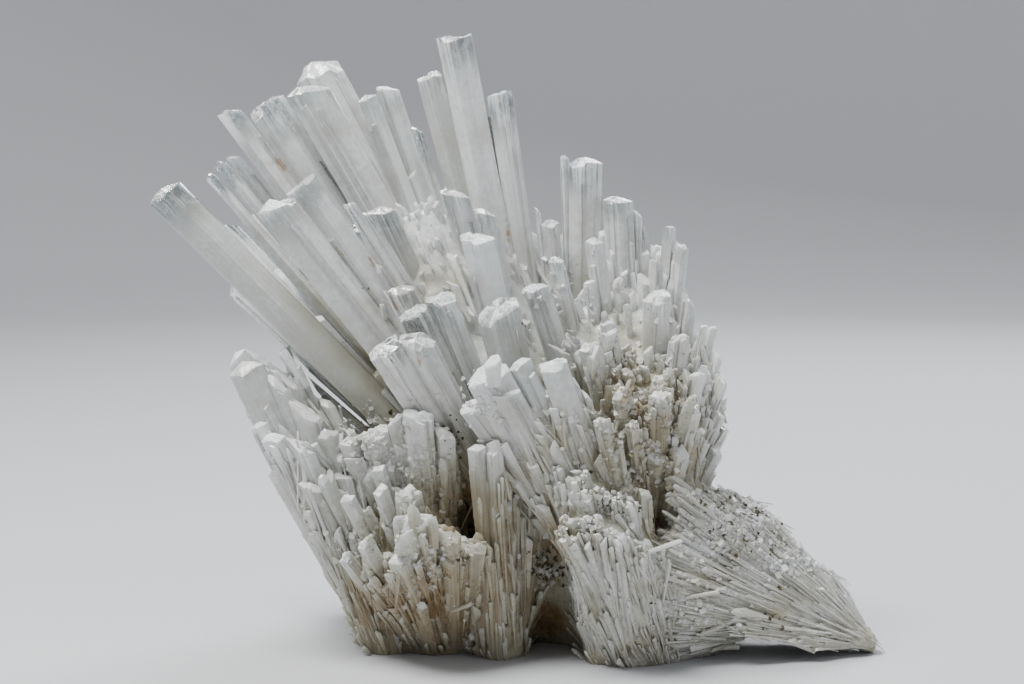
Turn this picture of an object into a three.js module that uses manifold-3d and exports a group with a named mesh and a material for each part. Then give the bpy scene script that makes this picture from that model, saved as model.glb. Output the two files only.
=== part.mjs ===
// Scolecite specimen: sprays of square prisms that grew through each other, in millimetres, +Z up.
// Seen from the front, +X is to the right and +Y goes away. The broken feet stand on z = 0.
import * as THREE from 'three';
import Module from 'manifold-3d';
import { ConvexGeometry } from 'three/addons/geometries/ConvexGeometry.js';
import { mergeVertices } from 'three/addons/utils/BufferGeometryUtils.js';

const wasm = await Module();
wasm.setup();

// Where the specimen is looked at from. Crystal ends are given as they look from there: how far
// across and up they seem to be on the front plane y = 0, and how far behind that plane they lie.
const eyeDistance = 483;
const eyeTilt = THREE.MathUtils.degToRad(6);
const aimAcross = -1.6;
const aimUp = 63.6;

// The origin: under the middle of the specimen's box, on the table.
const middleAcross = 1.16;
const middleDeep = 12;

// Proportions that every crystal shares.
const flatness = 0.84;           // front-to-back thickness against the width
const leastThickness = 1.8;      // of the finest crystal that is built
const stoutWidth = 5;            // from here on a crystal has six sides and not four
const ridgeShift = 0.45;         // how far the front ridge may sit off the middle
const capLow = 0.06;             // height of the end against the width, from a broken end
const capHigh = 0.3;             // to a low pyramid
const rootStart = 0.12;          // crystals begin this far from the root of their spray

// Crystals behind the front ones: shorter, shuffled, on the far side of the spray's middle plane.
const backShortest = 0.78;
const backLongest = 0.97;
const backShuffle = 0.035;       // sideways, against the length
const backSkip = 2;              // every second place stays empty

// Crystals between two neighbours, to close the spray.
const betweenShortest = 0.74;
const betweenLongest = 0.95;
const betweenWidth = 0.8;
const betweenShuffle = 0.03;     // sideways, against the length

// Each spray has a root and the two upper corners of each crystal's end, from left to right:
// [left corner across, up, right corner across, up, depth]. The middle is the depth of the plane
// that its back half is turned about, and between is how many crystals fill the gaps. The taper is
// a crystal's thickness at the root against its end, and the heart, the intergrown middle of the
// spray, reaches that share of the way out to the ends.
const sprays = {
  leftFan: {
    root: [23, 0, 9], rootWidth: 16, middle: 9, between: 6, taper: 0.9, heart: 0.6,
    ends: [
      [-73.6, 90.8, -68, 95.6, -8],
      [-62.8, 96, -61.2, 97.4, -2],
      [-61.2, 98.6, -58.8, 100, -1],
      [-58.8, 100.4, -55.6, 100.6, 0],
      [-60.6, 108.8, -55.8, 110.2, -4],
      [-54, 109, -47.2, 113, 1],
      [-46.4, 112.4, -38.4, 115.2, -4],
      [-44.6, 115.2, -36.2, 119.4, 3],
      [-64, 82, -60.4, 85, -6],
      [-45.6, 62, -41, 56.8, 1],
      [-42.6, 57, -38.6, 51.4, 0],
      [-40.6, 52, -36.6, 46.6, 2],
      [-52.4, 88.8, -45.6, 93, -13],
      [-46.6, 93, -41, 97, -11],
      [-35.6, 91.4, -32.6, 91.2, -14],
      [-32.2, 89.4, -29.6, 89.2, -13],
    ],
  },
  tallFan: {
    root: [12, 2, 12], rootWidth: 16, middle: 12, between: 7, taper: 0.7, heart: 0.72,
    ends: [
      [-32.4, 111.6, -28.6, 113.2, -1],
      [-28.8, 114.4, -24, 113.8, 2],
      [-22, 106.4, -19.4, 105.6, 0],
      [-20.6, 116.2, -15.8, 118, 4],
      [-16.8, 124.4, -9.6, 125, -1],
      [-6.6, 112.6, -1.6, 113.8, 0],
      [2.8, 90.6, 4.1, 89.4, 2],
      [4.1, 87, 8, 87.2, 2],
      [8, 100.6, 9.8, 100.4, 5],
      [9.6, 99.2, 16.5, 99.8, 6],
      [-12, 84.4, -5.4, 85.6, -15],
      [-19, 72, -13, 73, -15],
      [-8.4, 68, -0.2, 71, -17],
      [-24, 68, -18.6, 70.8, -18],
      [-30.4, 61, -24.4, 64.4, -23],
      [-24.2, 64.4, -17, 63.4, -23],
    ],
  },
  crest: {
    root: [24, 10, 10], rootWidth: 16, middle: 11, between: 7, taper: 0.8, heart: 0.84,
    ends: [
      [16.4, 92, 22.6, 91.6, 3],
      [22.4, 90, 24.4, 88.8, 3],
      [24.2, 87.8, 26.2, 83, 4],
      [26.4, 82.8, 28.2, 82.6, 16],
      [28.6, 86.6, 31.2, 86.6, 4],
      [31, 84, 33.8, 82, 3],
      [32.6, 73.6, 35.4, 70, 1],
      [13, 83, 17, 83.6, -4],
      [5.6, 79.6, 8.8, 80, -8],
      [0.6, 74, 5.8, 75.2, -11],
      [24.6, 72, 30, 73.4, -9],
      [26, 80, 28.8, 80, -1],
    ],
  },
  rightSide: {
    root: [26, 18, 4], rootWidth: 15, middle: 10, between: 10, taper: 0.7, heart: 0.86,
    ends: [
      [15.8, 67.6, 19.4, 67.6, -14],
      [11.4, 62.6, 16, 63.4, -17],
      [18.2, 52.4, 22.2, 54.4, -19],
      [25.6, 53, 30.4, 53.4, -20],
      [21, 47.4, 23.8, 47.4, -20],
      [29.8, 64, 34, 65, -11],
      [33.8, 57, 37.2, 57.6, -12],
      [33, 50, 36.4, 49.6, -16],
      [36, 66.8, 37.4, 66.8, -1],
      [37.4, 66.6, 39.6, 66.2, 2],
      [38.4, 61.8, 40.6, 60.2, 0],
      [39.6, 57.2, 41.6, 55, -2],
      [39, 50.2, 41, 48.4, -4],
      [40, 47.4, 41.8, 45.6, 0],
      [38.2, 43, 40.6, 40.6, -6],
      [36.8, 40, 39.6, 37.4, -4],
      [30, 43, 34, 41, -15],
    ],
  },
  centreSpray: {
    root: [26, 2, -3], rootWidth: 12, middle: 6, between: 4, taper: 0.7, heart: 0.82,
    ends: [
      [-10.6, 55, -2.6, 59, -25],
      [-2.6, 58.4, 2.4, 60, -23],
      [3.8, 58.6, 9.4, 60, -25],
      [9.4, 57.4, 12, 54.6, -20],
      [12, 54.2, 14.6, 51.6, -19],
      [14.4, 48, 18, 48.4, -22],
      [18.2, 44.2, 20.6, 43.6, -20],
      [23.6, 34.4, 26.4, 33, -18],
      [-12, 49.6, -6, 52.2, -21],
      [-5.4, 53, 0, 54, -26],
    ],
  },
  frontFoot: {
    root: [24, -12, 0], rootWidth: 20, middle: 8, between: 5, taper: 0.7, heart: 0.92,
    ends: [
      [5.8, 37.6, 8.8, 39, -23],
      [9, 36.2, 14.6, 37.2, -25],
      [14.8, 34.6, 17.4, 34.8, -24],
      [17.4, 31.6, 20.2, 33.6, -24],
      [20, 34, 24.4, 31.2, -23],
      [6.8, 26.4, 12, 28.8, -26],
      [12, 28.6, 17.2, 27.2, -27],
      [17, 26.4, 22.4, 23.6, -27],
      [22, 24.2, 27.2, 22.8, -24],
      [27, 22.4, 29.8, 19.8, -19],
    ],
  },
  middleFoot: {
    root: [-3.4, -14, 2], rootWidth: 8, middle: 8, between: 3, taper: 0.7, heart: 0.88,
    ends: [
      [-5.2, 29.4, -2.4, 31, -12],
      [-2.4, 31.2, 0.6, 34.2, -11],
      [0.2, 35, 3.2, 36.6, -8],
      [3, 32, 5.8, 31.6, -6],
      [-6.4, 19.6, -3.8, 21.8, -13],
      [-10.6, 42, -6.8, 43, -22],
      [-6.8, 41.4, -3.2, 42.8, -22],
    ],
  },
  leftSpray: {
    root: [-24, -6, 4], rootWidth: 8, middle: 9, between: 10, taper: 0.7, heart: 0.88,
    ends: [
      [-58.2, 58.6, -55, 62.4, -7],
      [-55.4, 62.6, -49, 58.2, -5],
      [-49.4, 58.6, -42.2, 52.8, -3],
      [-42.6, 52.6, -35.6, 46.4, -1],
      [-51.8, 43.6, -47, 45.2, -11],
      [-47, 44.6, -40.6, 41, -13],
      [-44.4, 35.4, -39, 34, -14],
      [-42.4, 25, -39.6, 27, -10],
      [-47.8, 61.8, -46, 63, 2],
      [-38.6, 37, -33, 37, -11],
    ],
  },
  ledges: {
    root: [-13, -8, 14], rootWidth: 18, middle: 15, between: 9, taper: 0.7, heart: 0.78,
    ends: [
      [-40.6, 44.4, -36.6, 46.4, -13],
      [-36, 43, -31.8, 44.8, -15],
      [-31.8, 45, -26.4, 46.6, -16],
      [-26.4, 46.8, -23.4, 49.8, -18],
      [-23.4, 49.8, -17.4, 48.8, -21],
      [-17.6, 47.2, -12.8, 44, -19],
      [-29.8, 37.8, -27, 39.2, -19],
      [-29.6, 33.8, -26.6, 35, -21],
      [-24.2, 33.4, -19.8, 34.2, -23],
      [-36, 31.6, -33, 33.2, -19],
      [-24.2, 27.4, -17.4, 28.6, -26],
      [-17.6, 26.4, -12, 24.2, -23],
      [-12.4, 24, -6.6, 22.4, -18],
      [-32.8, 22.8, -29.4, 24.6, -22],
      [-26.6, 19.8, -21.8, 21.6, -24],
      [-36.2, 19.6, -33.8, 21.8, -16],
    ],
  },
  wing: {
    root: [71.6, 2.4, 0], rootWidth: 3, middle: 1, between: 6, taper: 0.4, heart: 0.94,
    ends: [
      [38.6, 35.8, 42.8, 33, -3],
      [42.6, 33.2, 46, 32.2, -2],
      [45.8, 32, 49, 30.4, -3],
      [48.8, 30.4, 51.2, 26.6, -2],
      [51.6, 25, 55.4, 22.2, -1],
      [55, 22.4, 58, 20.2, -2],
      [58.2, 19.8, 64.4, 16, 0],
      [28, 33, 31.4, 35.8, -14],
      [31, 35.6, 36.4, 32, -12],
      [34, 31, 39, 27, -12],
      [26, 22, 30, 27, -12],
      [28, 15.4, 31, 20, -12],
      [25, 21, 28.4, 26, -8],
      [26, 12, 28.6, 16, -9],
      [27, 9.6, 28.4, 11.8, -14],
      [42, 5, 44.4, 8.6, -11],
      [54, 2.6, 57, 5, -8],
    ],
  },
};

// The small lump between the front foot and the wing, by its corners in the same form as a place.
const sideLump = [
  [28, 1, -8], [38, 0.6, -4], [44, 4, -2], [30, 10, -12], [40, 9, -10], [46, 8, 2],
  [28, 12, 8], [44, 12, 10], [32, 1.2, 12], [42, 1.6, 12],
];

// A low sequence of pseudo-random numbers from 0 to 1, the same at every run.
const drawSpan = 2147483647;
const drawStep = 16807;
let drawState = 4711;

function draw() {
  drawState = (drawState * drawStep) % drawSpan;
  return drawState / drawSpan;
}

function drawBetween(low, high) {
  return low + (high - low) * draw();
}

// Turns a place as it looks from the front into a point of the specimen.
function place([across, up, depth]) {
  const slope = (up - aimUp) / eyeDistance;
  const lift = slope * (eyeDistance + depth * Math.cos(eyeTilt)) - depth * Math.sin(eyeTilt);
  const rise = lift / (Math.cos(eyeTilt) + slope * Math.sin(eyeTilt));
  const range = eyeDistance + depth * Math.cos(eyeTilt) - rise * Math.sin(eyeTilt);
  const x = aimAcross + ((across - aimAcross) * range) / eyeDistance;
  return new THREE.Vector3(x - middleAcross, depth - middleDeep, aimUp + rise);
}

// The section of a crystal, as seen along it, with a ridge in front and behind. Stout crystals have
// flat sides as well, and thin ones have their edges there.
function section(width, shift) {
  if (width < stoutWidth) {
    return [[1, 0], [shift, 1], [-1, 0], [-shift, -1]];
  }
  return [[1, -0.5], [1, 0.5], [shift, 1], [-1, 0.5], [-1, -0.5], [-shift, -1]];
}

// One crystal from the root to its end: a tapering six-sided prism with a slanted low tip.
function crystalGeometry(root, leftCorner, rightCorner, taper) {
  const end = leftCorner.clone().add(rightCorner).multiplyScalar(0.5);
  const along = end.clone().sub(root).normalize();
  const span = rightCorner.clone().sub(leftCorner);
  const slant = span.dot(along);
  const side = span.clone().addScaledVector(along, -slant);
  const width = Math.max(side.length(), leastThickness);
  side.normalize();
  const front = new THREE.Vector3().crossVectors(side, along).normalize();
  const thickness = Math.max(width * flatness * drawBetween(0.85, 1.15), leastThickness);
  const shift = drawBetween(-ridgeShift, ridgeShift);
  const cap = width * drawBetween(capLow, capHigh);
  const start = root.clone().lerp(end, rootStart);
  const points = [end.clone().addScaledVector(along, cap)];
  for (const [sideways, forward] of section(width, shift)) {
    const offset = new THREE.Vector3();
    offset.addScaledVector(side, (sideways * width) / 2);
    offset.addScaledVector(front, (forward * thickness) / 2);
    points.push(start.clone().addScaledVector(offset, taper));
    points.push(end.clone().add(offset).addScaledVector(along, (sideways * slant) / 2));
  }
  return new ConvexGeometry(points);
}

// A crystal given by its end as it looks from the front.
function frontCrystal(spray, [left, leftUp, right, rightUp, depth]) {
  const leftCorner = place([left, leftUp, depth]);
  const rightCorner = place([right, rightUp, depth]);
  return crystalGeometry(place(spray.root), leftCorner, rightCorner, spray.taper);
}

// The two corners of a crystal's end, drawn in towards the root and shifted sideways.
function shortened(root, corners, length, shuffle) {
  const reach = place(corners[0]).distanceTo(root) * shuffle;
  const shift = new THREE.Vector3(drawBetween(-reach, reach), drawBetween(-reach, reach), 0);
  return corners.map((corner) => place(corner).lerp(root, 1 - length).add(shift));
}

// A crystal of the far side: the place where a front crystal would be, turned about the middle.
function backCrystal(spray, [left, leftUp, right, rightUp, depth]) {
  const far = 2 * spray.middle - depth;
  const farRoot = place([spray.root[0], spray.root[1], 2 * spray.middle - spray.root[2]]);
  const length = drawBetween(backShortest, backLongest);
  const corners = [[left, leftUp, far], [right, rightUp, far]];
  return crystalGeometry(farRoot, ...shortened(farRoot, corners, length, backShuffle), spray.taper);
}

// A crystal between two neighbours of the same spray, shorter than both, at any depth between the
// near side and the far side.
function betweenCrystal(spray) {
  const index = Math.floor(draw() * (spray.ends.length - 1));
  const share = drawBetween(0.3, 0.7);
  const second = spray.ends[index + 1];
  const mixed = spray.ends[index].map((value, at) => value * (1 - share) + second[at] * share);
  const half = ((mixed[2] - mixed[0]) / 2) * betweenWidth;
  const across = (mixed[0] + mixed[2]) / 2;
  const away = draw();
  const depth = mixed[4] + 2 * away * (spray.middle - mixed[4]);
  const rootDepth = spray.root[2] + 2 * away * (spray.middle - spray.root[2]);
  const corners = [[across - half, mixed[1], depth], [across + half, mixed[3], depth]];
  const length = drawBetween(betweenShortest, betweenLongest);
  const root = place([spray.root[0], spray.root[1], rootDepth]);
  return crystalGeometry(root, ...shortened(root, corners, length, betweenShuffle), spray.taper);
}

// The intergrown middle: a faceted lump from the roots towards all the ends.
function heartGeometry(spray) {
  const root = place(spray.root);
  const farRoot = place([spray.root[0], spray.root[1], 2 * spray.middle - spray.root[2]]);
  const half = spray.rootWidth / 2;
  const points = [];
  for (const sign of [-1, 1]) {
    points.push(root.clone().add(new THREE.Vector3(sign * half, 0, 0)));
    points.push(farRoot.clone().add(new THREE.Vector3(sign * half, 0, 0)));
  }
  points.push(root.clone().add(new THREE.Vector3(0, -half / 2, 0)));
  points.push(farRoot.clone().add(new THREE.Vector3(0, half / 2, 0)));
  for (const [left, leftUp, right, rightUp, depth] of spray.ends) {
    const middle = [(left + right) / 2, (leftUp + rightUp) / 2];
    points.push(place([...middle, depth]).lerp(root, 1 - spray.heart));
    points.push(place([...middle, 2 * spray.middle - depth]).lerp(farRoot, 1 - spray.heart));
  }
  return new ConvexGeometry(points);
}

// Closed three.js geometry to a solid, and back.
function solidOf(geometry) {
  const bare = geometry.clone();
  bare.deleteAttribute('normal');
  bare.deleteAttribute('uv');
  const merged = mergeVertices(bare, 1e-4);
  const vertProperties = new Float32Array(merged.attributes.position.array);
  const triVerts = new Uint32Array(merged.index.array);
  return new wasm.Manifold(new wasm.Mesh({ numProp: 3, vertProperties, triVerts }));
}

function geometryOf(solid) {
  const mesh = solid.getMesh();
  const geometry = new THREE.BufferGeometry();
  geometry.setAttribute('position', new THREE.BufferAttribute(mesh.vertProperties, mesh.numProp));
  geometry.setIndex(new THREE.BufferAttribute(mesh.triVerts, 1));
  geometry.computeVertexNormals();
  return geometry;
}

function joined(geometries) {
  return geometries.map(solidOf).reduce((whole, next) => whole.add(next));
}

// All the crystals and the middle of one spray.
function sprayGeometries(spray) {
  const geometries = [heartGeometry(spray)];
  spray.ends.forEach((end, index) => {
    geometries.push(frontCrystal(spray, end));
    if (index % backSkip !== backSkip - 1) {
      geometries.push(backCrystal(spray, end));
    }
  });
  for (let count = 0; count < spray.between; count += 1) {
    geometries.push(betweenCrystal(spray));
  }
  return geometries;
}

// Everything under the table's height, which the feet are ground flat to.
function groundGeometry() {
  const side = 400;
  const ground = new THREE.BoxGeometry(side, side, side);
  ground.translate(0, 0, -side / 2);
  return ground;
}

function clusterGeometry() {
  const geometries = Object.values(sprays).flatMap(sprayGeometries);
  geometries.push(new ConvexGeometry(sideLump.map(place)));
  return geometryOf(joined(geometries).subtract(solidOf(groundGeometry())));
}

const milkyWhite = new THREE.MeshStandardMaterial({ color: 0xd9dcdd, roughness: 0.35, metalness: 0 });

const cluster = new THREE.Mesh(clusterGeometry(), milkyWhite);
cluster.name = 'scolecite_cluster';

const specimen = new THREE.Group();
specimen.add(cluster);

export default specimen;
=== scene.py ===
import math
import time

import bpy
import bmesh
import numpy as np
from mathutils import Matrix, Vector, noise
from mathutils.bvhtree import BVHTree


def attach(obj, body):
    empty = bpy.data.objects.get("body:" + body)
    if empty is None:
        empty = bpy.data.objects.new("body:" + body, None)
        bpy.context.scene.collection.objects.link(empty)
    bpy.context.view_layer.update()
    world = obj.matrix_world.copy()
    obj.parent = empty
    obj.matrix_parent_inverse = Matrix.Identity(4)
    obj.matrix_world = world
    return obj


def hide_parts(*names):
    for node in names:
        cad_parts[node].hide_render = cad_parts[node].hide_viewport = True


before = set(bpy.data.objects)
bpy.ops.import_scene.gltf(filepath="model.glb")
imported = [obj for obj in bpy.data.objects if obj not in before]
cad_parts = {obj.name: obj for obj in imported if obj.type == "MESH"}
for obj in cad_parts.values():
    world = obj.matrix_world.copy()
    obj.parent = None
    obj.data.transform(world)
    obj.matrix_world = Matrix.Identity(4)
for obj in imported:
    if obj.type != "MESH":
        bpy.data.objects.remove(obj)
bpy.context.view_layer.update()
started = time.time()
metre = 0.001  # everything below is in millimetres until a mesh is made


def report(stage):
    print("%5.1f s  %s" % (time.time() - started, stage))


# view and origin, as the solids have them
view = {
    "distance": 483.0,          # from the eye to the plane y = 0 in front
    "tilt": math.radians(6.0),
    "aimAcross": -1.6,
    "aimUp": 63.6,
    "lens": 85.0,
    "sensor": 36.0,
}
middleAcross = 1.16
middleDeep = 12.0


def place(across, up, depth):
    # a place as it looks from the front, to a point of the specimen
    tilt = view["tilt"]
    slope = (up - view["aimUp"]) / view["distance"]
    lift = slope * (view["distance"] + depth * math.cos(tilt)) - depth * math.sin(tilt)
    rise = lift / (math.cos(tilt) + slope * math.sin(tilt))
    span = view["distance"] + depth * math.cos(tilt) - rise * math.sin(tilt)
    x = view["aimAcross"] + (across - view["aimAcross"]) * span / view["distance"]
    return np.array((x - middleAcross, depth - middleDeep, view["aimUp"] + rise))


# the crystals' ends: left corner across and up, right corner across and up, depth
sprays = {
    "leftFan": {
        "root": (23, 0, 9), "rootWidth": 16, "middle": 9, "between": 6, "taper": 0.9, "heart": 0.6,
        "ends": [
            (-73.6, 90.8, -68, 95.6, -8), (-62.8, 96, -61.2, 97.4, -2), (-61.2, 98.6, -58.8, 100, -1),
            (-58.8, 100.4, -55.6, 100.6, 0), (-60.6, 108.8, -55.8, 110.2, -4), (-54, 109, -47.2, 113, 1),
            (-46.4, 112.4, -38.4, 115.2, -4), (-44.6, 115.2, -36.2, 119.4, 3), (-64, 82, -60.4, 85, -6),
            (-45.6, 62, -41, 56.8, 1), (-42.6, 57, -38.6, 51.4, 0), (-40.6, 52, -36.6, 46.6, 2),
            (-52.4, 88.8, -45.6, 93, -13), (-46.6, 93, -41, 97, -11), (-35.6, 91.4, -32.6, 91.2, -14),
            (-32.2, 89.4, -29.6, 89.2, -13),
        ],
    },
    "tallFan": {
        "root": (12, 2, 12), "rootWidth": 16, "middle": 12, "between": 7, "taper": 0.7, "heart": 0.72,
        "ends": [
            (-32.4, 111.6, -28.6, 113.2, -1), (-28.8, 114.4, -24, 113.8, 2),
            (-22, 106.4, -19.4, 105.6, 0), (-20.6, 116.2, -15.8, 118, 4), (-16.8, 124.4, -9.6, 125, -1),
            (-6.6, 112.6, -1.6, 113.8, 0), (2.8, 90.6, 4.1, 89.4, 2), (4.1, 87, 8, 87.2, 2),
            (8, 100.6, 9.8, 100.4, 5), (9.6, 99.2, 16.5, 99.8, 6), (-12, 84.4, -5.4, 85.6, -15),
            (-19, 72, -13, 73, -15), (-8.4, 68, -0.2, 71, -17), (-24, 68, -18.6, 70.8, -18),
            (-30.4, 61, -24.4, 64.4, -23), (-24.2, 64.4, -17, 63.4, -23),
        ],
    },
    "crest": {
        "root": (24, 10, 10), "rootWidth": 16, "middle": 11, "between": 7, "taper": 0.8, "heart": 0.84,
        "ends": [
            (16.4, 92, 22.6, 91.6, 3), (22.4, 90, 24.4, 88.8, 3), (24.2, 87.8, 26.2, 83, 4),
            (26.4, 82.8, 28.2, 82.6, 16), (28.6, 86.6, 31.2, 86.6, 4), (31, 84, 33.8, 82, 3),
            (32.6, 73.6, 35.4, 70, 1), (13, 83, 17, 83.6, -4), (5.6, 79.6, 8.8, 80, -8),
            (0.6, 74, 5.8, 75.2, -11), (24.6, 72, 30, 73.4, -9), (26, 80, 28.8, 80, -1),
        ],
    },
    "rightSide": {
        "root": (26, 18, 4), "rootWidth": 15, "middle": 10, "between": 10, "taper": 0.7, "heart": 0.86,
        "ends": [
            (15.8, 67.6, 19.4, 67.6, -14), (11.4, 62.6, 16, 63.4, -17), (18.2, 52.4, 22.2, 54.4, -19),
            (25.6, 53, 30.4, 53.4, -20), (21, 47.4, 23.8, 47.4, -20), (29.8, 64, 34, 65, -11),
            (33.8, 57, 37.2, 57.6, -12), (33, 50, 36.4, 49.6, -16), (36, 66.8, 37.4, 66.8, -1),
            (37.4, 66.6, 39.6, 66.2, 2), (38.4, 61.8, 40.6, 60.2, 0), (39.6, 57.2, 41.6, 55, -2),
            (39, 50.2, 41, 48.4, -4), (40, 47.4, 41.8, 45.6, 0), (38.2, 43, 40.6, 40.6, -6),
            (36.8, 40, 39.6, 37.4, -4), (30, 43, 34, 41, -15),
        ],
    },
    "centreSpray": {
        "root": (26, 2, -3), "rootWidth": 12, "middle": 6, "between": 4, "taper": 0.7, "heart": 0.82,
        "ends": [
            (-10.6, 55, -2.6, 59, -25), (-2.6, 58.4, 2.4, 60, -23), (3.8, 58.6, 9.4, 60, -25),
            (9.4, 57.4, 12, 54.6, -20), (12, 54.2, 14.6, 51.6, -19), (14.4, 48, 18, 48.4, -22),
            (18.2, 44.2, 20.6, 43.6, -20), (23.6, 34.4, 26.4, 33, -18), (-12, 49.6, -6, 52.2, -21),
            (-5.4, 53, 0, 54, -26),
        ],
    },
    "frontFoot": {
        "root": (24, -12, 0), "rootWidth": 20, "middle": 8, "between": 5, "taper": 0.7, "heart": 0.92,
        "ends": [
            (5.8, 37.6, 8.8, 39, -23), (9, 36.2, 14.6, 37.2, -25), (14.8, 34.6, 17.4, 34.8, -24),
            (17.4, 31.6, 20.2, 33.6, -24), (20, 34, 24.4, 31.2, -23), (6.8, 26.4, 12, 28.8, -26),
            (12, 28.6, 17.2, 27.2, -27), (17, 26.4, 22.4, 23.6, -27), (22, 24.2, 27.2, 22.8, -24),
            (27, 22.4, 29.8, 19.8, -19),
        ],
    },
    "middleFoot": {
        "root": (-3.4, -14, 2), "rootWidth": 8, "middle": 8, "between": 3, "taper": 0.7, "heart": 0.88,
        "ends": [
            (-5.2, 29.4, -2.4, 31, -12), (-2.4, 31.2, 0.6, 34.2, -11), (0.2, 35, 3.2, 36.6, -8),
            (3, 32, 5.8, 31.6, -6), (-6.4, 19.6, -3.8, 21.8, -13), (-10.6, 42, -6.8, 43, -22),
            (-6.8, 41.4, -3.2, 42.8, -22),
        ],
    },
    "leftSpray": {
        "root": (-24, -6, 4), "rootWidth": 8, "middle": 9, "between": 10, "taper": 0.7, "heart": 0.88,
        "ends": [
            (-58.2, 58.6, -55, 62.4, -7), (-55.4, 62.6, -49, 58.2, -5), (-49.4, 58.6, -42.2, 52.8, -3),
            (-42.6, 52.6, -35.6, 46.4, -1), (-51.8, 43.6, -47, 45.2, -11), (-47, 44.6, -40.6, 41, -13),
            (-44.4, 35.4, -39, 34, -14), (-42.4, 25, -39.6, 27, -10), (-47.8, 61.8, -46, 63, 2),
            (-38.6, 37, -33, 37, -11),
        ],
    },
    "ledges": {
        "root": (-13, -8, 14), "rootWidth": 18, "middle": 15, "between": 9, "taper": 0.7, "heart": 0.78,
        "ends": [
            (-40.6, 44.4, -36.6, 46.4, -13), (-36, 43, -31.8, 44.8, -15), (-31.8, 45, -26.4, 46.6, -16),
            (-26.4, 46.8, -23.4, 49.8, -18), (-23.4, 49.8, -17.4, 48.8, -21),
            (-17.6, 47.2, -12.8, 44, -19), (-29.8, 37.8, -27, 39.2, -19), (-29.6, 33.8, -26.6, 35, -21),
            (-24.2, 33.4, -19.8, 34.2, -23), (-36, 31.6, -33, 33.2, -19), (-24.2, 27.4, -17.4, 28.6, -26),
            (-17.6, 26.4, -12, 24.2, -23), (-12.4, 24, -6.6, 22.4, -18), (-32.8, 22.8, -29.4, 24.6, -22),
            (-26.6, 19.8, -21.8, 21.6, -24), (-36.2, 19.6, -33.8, 21.8, -16),
        ],
    },
    "wing": {
        "root": (71.6, 2.4, 0), "rootWidth": 3, "middle": 1, "between": 6, "taper": 0.4, "heart": 0.94,
        "ends": [
            (38.6, 35.8, 42.8, 33, -3), (42.6, 33.2, 46, 32.2, -2), (45.8, 32, 49, 30.4, -3),
            (48.8, 30.4, 51.2, 26.6, -2), (51.6, 25, 55.4, 22.2, -1), (55, 22.4, 58, 20.2, -2),
            (58.2, 19.8, 64.4, 16, 0), (28, 33, 31.4, 35.8, -14), (31, 35.6, 36.4, 32, -12),
            (34, 31, 39, 27, -12), (26, 22, 30, 27, -12), (28, 15.4, 31, 20, -12), (25, 21, 28.4, 26, -8),
            (26, 12, 28.6, 16, -9), (27, 9.6, 28.4, 11.8, -14), (42, 5, 44.4, 8.6, -11),
            (54, 2.6, 57, 5, -8),
        ],
    },
}

# the lump between the front foot and the wing, by its corners
sideLump = [
    (28, 1, -8), (38, 0.6, -4), (44, 4, -2), (30, 10, -12), (40, 9, -10), (46, 8, 2),
    (28, 12, 8), (44, 12, 10), (32, 1.2, 12), (42, 1.6, 12),
]

# the same low random row that the solids are drawn with
drawing = {"state": 4711, "step": 16807, "span": 2147483647}


def draw():
    drawing["state"] = (drawing["state"] * drawing["step"]) % drawing["span"]
    return drawing["state"] / drawing["span"]


def drawBetween(low, high):
    return low + (high - low) * draw()


# how the crystals grow, as in the solids: thickness, ridge and cap in widths, widths in mm,
# lengths as shares of the crystals in front
growth = {
    "flatness": 0.84, "flatnessSpread": (0.85, 1.15),
    "least": 1.2,
    "stout": 5.0,
    "ridgeShift": 0.45,
    "cap": (0.06, 0.3),
    "start": 0.12,
    "back": (0.78, 0.97), "backShuffle": 0.035, "backSkip": 2,
    "between": (0.74, 0.95), "betweenShare": (0.3, 0.7), "betweenWidth": 0.8, "betweenShuffle": 0.03,
}


def unit(vector):
    return vector / max(np.linalg.norm(vector), 1e-9)


def crystalFrom(root, leftCorner, rightCorner, taper):
    # one crystal's own frame: along its length, across its width, and towards the front
    end = (leftCorner + rightCorner) / 2
    along = unit(end - root)
    span = rightCorner - leftCorner
    slant = float(span @ along)
    side = span - along * slant
    seenWidth = float(np.linalg.norm(side))
    width = max(seenWidth, growth["least"])
    side = unit(side)
    front = unit(np.cross(side, along))
    thickness = max(width * growth["flatness"] * drawBetween(*growth["flatnessSpread"]), growth["least"])
    shift = drawBetween(-growth["ridgeShift"], growth["ridgeShift"])
    cap = width * drawBetween(*growth["cap"])
    return {
        "root": root, "end": end, "along": along, "side": side, "front": front, "slant": slant,
        "width": width, "thickness": thickness, "shift": shift, "cap": cap, "taper": taper,
        "start": growth["start"],
    }


def shortened(root, corners, length, shuffle):
    reach = np.linalg.norm(place(*corners[0]) - root) * shuffle
    shift = np.array((drawBetween(-reach, reach), drawBetween(-reach, reach), 0.0))
    return [place(*corner) * length + root * (1 - length) + shift for corner in corners]


def frontCrystal(spray, end):
    left, leftUp, right, rightUp, depth = end
    leftCorner = place(left, leftUp, depth)
    rightCorner = place(right, rightUp, depth)
    return crystalFrom(place(*spray["root"]), leftCorner, rightCorner, spray["taper"])


def farRootOf(spray):
    across, up, depth = spray["root"]
    return place(across, up, 2 * spray["middle"] - depth)


def backCrystal(spray, end):
    left, leftUp, right, rightUp, depth = end
    far = 2 * spray["middle"] - depth
    root = farRootOf(spray)
    length = drawBetween(*growth["back"])
    corners = shortened(root, ((left, leftUp, far), (right, rightUp, far)), length, growth["backShuffle"])
    return crystalFrom(root, *corners, spray["taper"])


def deeper(spray, depth, away):
    # a depth in front moved back, by 0 to 1, to its mirror place behind the spray's middle
    return depth + 2 * away * (spray["middle"] - depth)


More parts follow.
